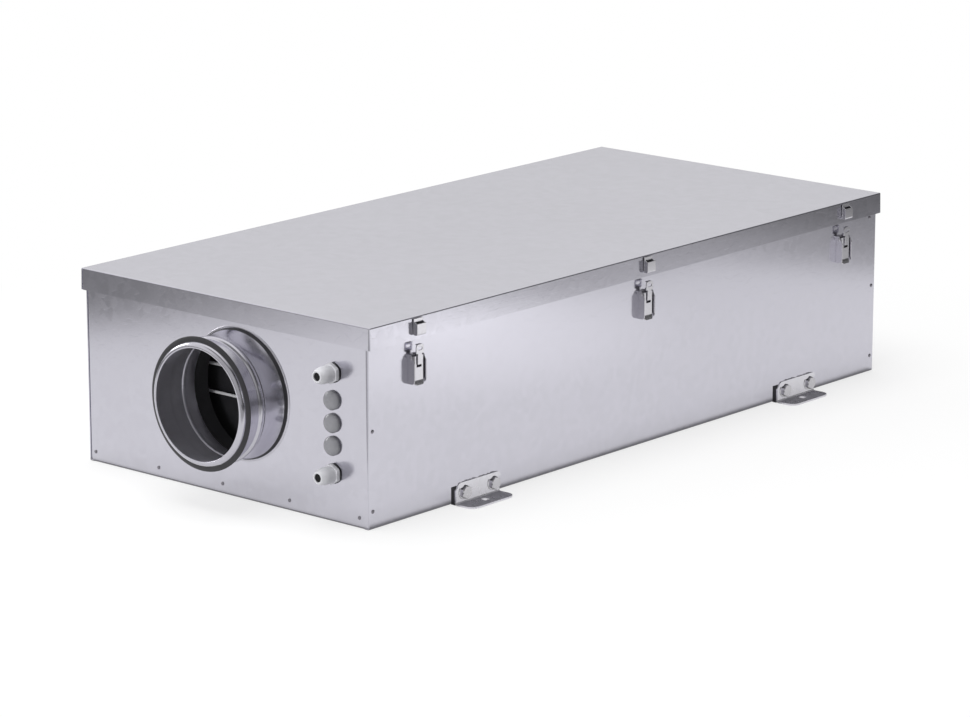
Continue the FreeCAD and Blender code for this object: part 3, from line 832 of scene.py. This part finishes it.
def makeKeepers():
    # a strip: down the skirt, out at the bottom and up to a lip, with both bends rounded
    low, high = boxMm("right_keepers")
    skirt, out, foot, half, thick = low[0], high[0], low[2], 8.5, 1.3
    line = roundedOutline([
        [skirt + 0.02, foot], [out, foot], [out, foot + 15], [out - thick, foot + 15],
        [out - thick, foot + thick], [skirt + thick, foot + thick], [skirt + thick, high[2]],
        [skirt + 0.02, high[2]]],
        [2.4, 2.4, 0.4, 0.4, 1.1, 1.1, 0.4, 0.0], 4)
    side = roundedOutline([
        [skirt + 0.1, foot + 0.1], [out - 0.1, foot + 0.1], [out - 0.1, foot + 14.9],
        [out - 1.6, foot + 14.9], [skirt + 1.2, foot + 17.5], [skirt + 0.1, foot + 17.5]],
        [2.3, 2.3, 0.6, 0.6, 1.0, 0.0], 4)
    right, edge = [], latchLookMm["edge"]
    for y in latchAt.values():
        right += plate(line, y - half, y + half)
        for middle in (y - half + 0.9, y + half - 0.9):
            right += plate(side, middle - 0.5, middle + 0.5)
    addPiece("rightKeepers", right, "lid", "latch", ("right_keepers",), edge=edge)
    addPiece("leftKeepers", toLeft(right), "lid", "latch", ("left_keepers",), edge=edge)


makeKeepers()
print("latches done")


# foot brackets, rubber pads and bolts

footShape = {
    "sheet": 2.5, "bend": 2.0, "width": 84.0, "height": 30.0, "reach": 31.0, "corner": 12.0, "upright": 7.2,
    "back": 7.0, "slotHalf": 4.5, "slotReach": 2.5, "padTop": 23.0, "boltZ": 16.5, "boltApart": 56.0,
    "wall": 2.44, "edge": 0.4,
}


def makeBracket(y):
    # outer sheet of the angle: the upright's face down to the inner bend, then the leg's top with its slot
    k = footShape
    half, back = k["width"] / 2, wallFace + k["back"]
    face, top, bend, curve, r = back + k["sheet"], k["sheet"], k["bend"], k["upright"], k["corner"]
    a = along(-1, 1, 24)
    z = np.concatenate([k["height"] - curve * (1 - np.cos(np.radians(along(0, 90, 6)[::-1]))), [20.0, 12.0]])
    drop = k["height"] - z
    narrow = np.where(drop < curve, curve - np.sqrt(np.maximum(curve ** 2 - (curve - drop) ** 2, 0)), 0)
    turn = np.radians(along(180, 270, 6))
    out = np.concatenate([face + 0 * z, face + bend + bend * np.cos(turn)])
    wide = np.concatenate([half - narrow, half + 0 * turn])
    z = np.concatenate([z, top + bend + bend * np.sin(turn)])
    upright = sheet(np.stack([out[:, None] + 0 * a, y + wide[:, None] * a, z[:, None] + 0 * a], -1))
    start, tip = face + bend, back + k["reach"]
    rim = np.concatenate([
        np.stack([start + 0 * a, half * a], -1), [[start + 4, half]],
        corner((tip - r, half - r), r, 90, 0, 8), corner((tip - r, -half + r), r, 0, -90, 8),
        [[start + 4, -half]]])
    ring = np.stack([rim, ovalIn(rim, np.array([(face + tip) / 2, 0.0]), k["slotReach"], k["slotHalf"])])
    leg = sheet(np.stack([ring[..., 0], y + ring[..., 1], np.full(ring.shape[:2], top)], -1), closeCols=True)
    return [upright, leg]


def makePad(y):
    low, high = boxMm("front_right_foot_pad")
    half, top, near, far = footShape["width"] / 2 - 1.0, footShape["padTop"], low[0] + 0.02, high[0] - 0.02
    line = roundedOutline([[near, 0.02], [far, 0.02], [far, top], [near, top]], [0.4, 0.4, 1.0, 1.0])
    return plate(line, y - half, y + half)


def makeBolt(y, z):
    base = wallFace + footShape["back"] + footShape["sheet"]
    washer = [[0.001, 0.02], [9.5, 0.02], [9.9, 0.3], [9.9, 1.1], [9.5, 1.4], [0.001, 1.4]]
    flat = hexRing(40.0, washer, (base, y, z), "x", 8)
    head = [[0.001, 1.4], [8.6, 1.4], [9.2, 1.8], [9.2, 6.6], [7.6, 7.8], [0.001, 7.8]]
    return [sheet(flat, closeCols=True), sheet(hexRing(16.0, head, (base, y, z), "x", 8), closeCols=True)]


def makeFeet():
    k = footShape
    pads, bolts = [], []
    for end in ("front", "back"):
        low, high = boxMm(end + "_right_foot_bracket")
        y = (low[1] + high[1]) / 2
        bracket = makeBracket(y)
        mirrored = toLeft(bracket)
        for side, patches in (("right", bracket), ("left", mirrored)):
            node = f"{end}_{side}_foot_bracket"
            name = end + side.title() + "Bracket"
            piece = addPiece(name, patches, "casing", "foot", (node,), wall=k["wall"], edge=k["edge"])
            piece.visible_glossy = side == "left"
        pads += makePad(y)
        for step in (-0.5, 0.5):
            bolts += makeBolt(y + step * k["boltApart"], k["boltZ"])
    pads += toLeft(pads)
    bolts += toLeft(bolts)
    pieces = ("front_right_foot_pad", "front_left_foot_pad", "back_right_foot_pad", "back_left_foot_pad")
    addPiece("footPads", pads, "casing", "rubber", pieces).visible_glossy = False
    addPiece("footBolts", bolts, "casing", "bolt", ("foot_bolts",), sharp=25).visible_glossy = False


makeFeet()
print("feet done")


# rivets

rivetShape = {
    "radius": 2.6, "height": 1.3, "smallRadius": 2.4, "panX": (-238.5, -121.0, -5.0, 113.0, 233.0), "panZ": 13.5,
    "wallY": 526.0, "wallZ": (23.0, 126.0), "topY": 518.0, "topZ": 226.0,
}


def rivet(at, away, radius=rivetShape["radius"]):
    # a low dome on a flat face: radius falls as the cosine, height rises as the sine
    t = np.linspace(0, 2 * np.pi, 16, endpoint=False)[None, :]
    a = np.radians(along(0, 89, 5))[:, None]
    r, h = radius * np.cos(a), rivetShape["height"] * np.sin(a) + 0.02
    r, h = np.concatenate([r[:1], r]), np.concatenate([0 * h[:1] + 0.01, h])
    away = np.array(away, float)
    side = np.cross(away, [0, 0, 1])
    up = np.array([0, 0, 1.0])
    points = (np.array(at, float) + (r * np.cos(t))[..., None] * side + (r * np.sin(t))[..., None] * up
              + (h + 0 * t)[..., None] * away)
    return sheet(points, closeCols=True)


def makeRivets():
    k = rivetShape
    parts = []
    for x in k["panX"]:
        for end in (-1, 1):
            parts.append(rivet((x, end * panelFace, k["panZ"]), (0, end, 0)))
    for y in (-k["wallY"], k["wallY"]):
        for z in k["wallZ"]:
            for side in (-1, 1):
                parts.append(rivet((side * wallFace, y, z), (side, 0, 0)))
    for side in (-1, 1):
        parts.append(rivet((side * wallFace, k["topY"], k["topZ"]), (side, 0, 0), k["smallRadius"]))
    # the rivets take the dark finish: painted shade
    addPiece("rivets", parts, "casing", "rivet")


makeRivets()
print("rivets done")


# studio: floor, lights, camera

nearSide = (0.66, -0.75, 0.0)


def against(tree, where, vector, operation="DOT_PRODUCT"):
    # a direction's share along a vector, or a place's distance from it
    node = addNode(tree, "ShaderNodeVectorMath", operation=operation)
    tree.links.new(where, node.inputs[0])
    node.inputs[1].default_value = vector
    return node.outputs["Value"]


def times(tree, first, second):
    return mixColour(tree, 1.0, first, second, "MULTIPLY")


def makeStudio():
    floorMesh = bpy.data.meshes.new("studioFloor")
    reach, z = 30, -0.0002
    corners = [(-reach, -reach, z), (reach, -reach, z), (reach, reach, z), (-reach, reach, z)]
    floorMesh.from_pydata(corners, [], [(0, 1, 2, 3)])
    floor = bpy.data.objects.new("studioFloor", floorMesh)
    bpy.context.scene.collection.objects.link(floor)
    material = bpy.data.materials.new("floorPaintedLight")
    material.use_nodes = True
    tree = material.node_tree
    tree.nodes.clear()
    link = tree.links.new
    out = tree.nodes.new("ShaderNodeOutputMaterial")
    where = tree.nodes.new("ShaderNodeTexCoord").outputs["Object"]
    # painted reflection and painted pool of light: what the metal sees, palest round the object, greyer away
    # from it, graded past its front and right edges
    apart = against(tree, where, (0.2, -0.2, 0.0), "DISTANCE")
    tone = rampOf(tree, rangeOf(tree, apart, 0.0, 1.0, 0.0, 2.0), [
        (0.0, 0.84), (0.63, 0.84), (0.67, 0.6), (0.7, 0.44), (0.76, 0.42), (0.85, 0.35), (1.0, 0.25)])
    place = addNode(tree, "ShaderNodeSeparateXYZ")
    link(where, place.inputs[0])
    x, y = place.outputs["X"], place.outputs["Y"]
    strip = rampOf(tree, rangeOf(tree, x, 0.0, 1.0, -1.1, -0.3), [
        (0.0, 0.22), (0.14, 0.26), (0.28, 0.36), (0.38, 0.5), (0.46, 0.58), (0.55, 0.58), (0.65, 0.76),
        (0.72, 0.82)])
    leftEnd = rangeOf(tree, x, 0.55, 1.0, -0.86, -0.68)
    leftEnd = mixColour(tree, rangeOf(tree, y, 0.0, 1.0, -0.95, -1.1), (1, 1, 1, 1), leftEnd)
    tone = times(tree, times(tree, tone, leftEnd), rangeOf(tree, y, 0.93, 1.0, -0.62, -0.5))
    tone = mixColour(tree, rangeOf(tree, y, 0.0, 1.0, -1.22, -1.29), tone, strip)
    strip = rampOf(tree, rangeOf(tree, y, 0.0, 1.0, -0.25, 1.45), [
        (0.0, 0.6), (0.28, 0.6), (0.33, 1.0), (0.47, 1.0), (0.52, 0.76), (0.57, 0.55), (0.74, 0.55),
        (0.87, 0.47), (1.0, 0.2)])
    tone = mixColour(tree, rangeOf(tree, x, 0.0, 1.0, 0.86, 0.92), tone, strip)
    tone = times(tree, tone, rangeOf(tree, x, 1.0, 0.35, 1.15, 1.35))
    tone = times(tree, tone, rangeOf(tree, against(tree, where, nearSide), 1.0, 0.5, 0.8, 0.9))
    # a painted pool of light, brightest toward the front right
    pool = against(tree, where, (1.0, 0.25, 0.0), "DISTANCE")
    tone = times(tree, tone, rangeOf(tree, pool, 1.35, 1.0, 0.15, 0.5))
    # painted contact shadow: darker close to the case's foot
    sides = ((x, 0.256), (y, 0.533))
    away = [maths(tree, "SUBTRACT", maths(tree, "ABSOLUTE", axis), half) for axis, half in sides]
    tone = times(tree, tone, rangeOf(tree, maths(tree, "MAXIMUM", *away), 0.3, 1.0, 0.001, 0.012))
    # the floor glows with this painted tone for every ray but the camera's: mostly emission, with a little lit
    # diffuse
    glow = tree.nodes.new("ShaderNodeEmission")
    link(tone, glow.inputs["Color"])
    plain = tree.nodes.new("ShaderNodeBsdfDiffuse")
    link(tone, plain.inputs["Color"])
    lit = tree.nodes.new("ShaderNodeMixShader")
    lit.inputs[0].default_value = 0.3
    link(glow.outputs[0], lit.inputs[1])
    link(plain.outputs[0], lit.inputs[2])
    # the camera sees white, and near the object also its soft shadow
    paper = tree.nodes.new("ShaderNodeBsdfDiffuse")
    paper.inputs["Color"].default_value = (0.9, 0.9, 0.9, 1)
    white = tree.nodes.new("ShaderNodeEmission")
    white.inputs["Color"].default_value = (1, 1, 1, 1)
    near = rangeOf(tree, apart, 0.35, 0.0, 0.7, 1.3)
    seen = tree.nodes.new("ShaderNodeMixShader")
    link(near, seen.inputs[0])
    link(white.outputs[0], seen.inputs[1])
    link(paper.outputs[0], seen.inputs[2])
    rays = tree.nodes.new("ShaderNodeLightPath")
    mix = tree.nodes.new("ShaderNodeMixShader")
    link(rays.outputs["Is Camera Ray"], mix.inputs[0])
    link(lit.outputs[0], mix.inputs[1])
    link(seen.outputs[0], mix.inputs[2])
    link(mix.outputs[0], out.inputs["Surface"])
    floorMesh.materials.append(material)


def makeWorld():
    # white to the camera; elsewhere a soft studio, pale low down and darker overhead
    world = bpy.data.worlds.new("studio")
    bpy.context.scene.world = world
    world.use_nodes = True
    tree = world.node_tree
    link = tree.links.new
    tree.nodes.clear()
    out = tree.nodes.new("ShaderNodeOutputWorld")
    where = tree.nodes.new("ShaderNodeTexCoord").outputs["Generated"]
    parts = addNode(tree, "ShaderNodeSeparateXYZ")
    link(where, parts.inputs[0])
    # behind the object the sky falls off upward, pale toward the left; toward the camera it is darker
    behind = rampOf(tree, parts.outputs["Z"], [
        (0.0, 0.62), (0.2, 0.7), (0.27, 0.84), (0.36, 0.86), (0.45, 0.5), (0.6, 0.2), (0.8, 0.12)])
    pale = rampOf(tree, parts.outputs["Z"], [(0.0, 0.62), (0.2, 0.7), (0.27, 0.84), (0.36, 0.9), (0.8, 1.0)])
    behind = mixColour(tree, rangeOf(tree, parts.outputs["X"], 0.0, 1.0, 0.28, 0.48), pale, behind)
    ahead = rampOf(tree, parts.outputs["Z"], [(0.0, 0.7), (0.2, 0.85), (0.8, 0.85), (0.92, 0.2)])
    side = rangeOf(tree, parts.outputs["Y"], 0.0, 1.0, 0.15, -0.15)
    tone = mixColour(tree, side, behind, ahead)
    tone = times(tree, tone, rangeOf(tree, against(tree, where, nearSide), 1.0, 0.6, 0.2, 0.5))
    # greyer toward the back right, with one bright panel there
    glow = times(tree, tone, rangeOf(tree, against(tree, where, (0.79, 0.61, 0.0)), 1.0, 0.2, 0.1, 0.75))
    spot = rangeOf(tree, against(tree, where, (0.842, 0.461, 0.280)), 0.0, 1.0, 0.965, 0.99)
    glow = mixColour(tree, spot, glow, (1.4, 1.4, 1.4, 1))
    rays = tree.nodes.new("ShaderNodeLightPath")
    toned = mixColour(tree, rays.outputs["Is Camera Ray"], glow, (1, 1, 1, 1))
    back = tree.nodes.new("ShaderNodeBackground")
    link(toned, back.inputs["Color"])
    link(back.outputs[0], out.inputs["Surface"])


def towards(azimuth, elevation):
    a, e = math.radians(azimuth), math.radians(elevation)
    return Vector((math.sin(a) * math.cos(e), -math.cos(a) * math.cos(e), math.sin(e)))


def addLamp(name, azimuth, elevation, distance, size, power, glossy=True):
    away = towards(azimuth, elevation)
    data = bpy.data.lights.new(name, "AREA")
    data.shape = "DISK"
    data.size = size
    data.energy = power
    lamp = bpy.data.objects.new(name, data)
    bpy.context.scene.collection.objects.link(lamp)
    lamp.location = away * distance
    lamp.rotation_euler = away.to_track_quat("Z", "Y").to_euler()
    lamp.visible_glossy = glossy


makeStudio()
makeWorld()
addLamp("overhead", 20, 80, 3.0, 2.4, 62, glossy=False)
addLamp("leftSoft", -75, 24, 3.2, 1.2, 22)
addLamp("frontFill", 8, 8, 3.0, 1.0, 34, glossy=False)

camLook = {
    "azimuth": 40.914, "elevation": 14.192, "distance": 5.67203, "lens": 153.469,
    "target": (-0.01239, -0.01108, 0.07771),
}


def makeCamera():
    away = towards(camLook["azimuth"], camLook["elevation"])
    data = bpy.data.cameras.new("camera")
    data.sensor_width = 36
    data.lens = camLook["lens"]
    data.clip_end = 100
    camera = bpy.data.objects.new("camera", data)
    bpy.context.scene.collection.objects.link(camera)
    camera.location = Vector(camLook["target"]) + away * camLook["distance"]
    camera.rotation_euler = away.to_track_quat("Z", "Y").to_euler()
    bpy.context.scene.camera = camera


makeCamera()
bpy.context.scene.view_settings.view_transform = "Standard"
print("studio done")

bpy.context.view_layer.update()
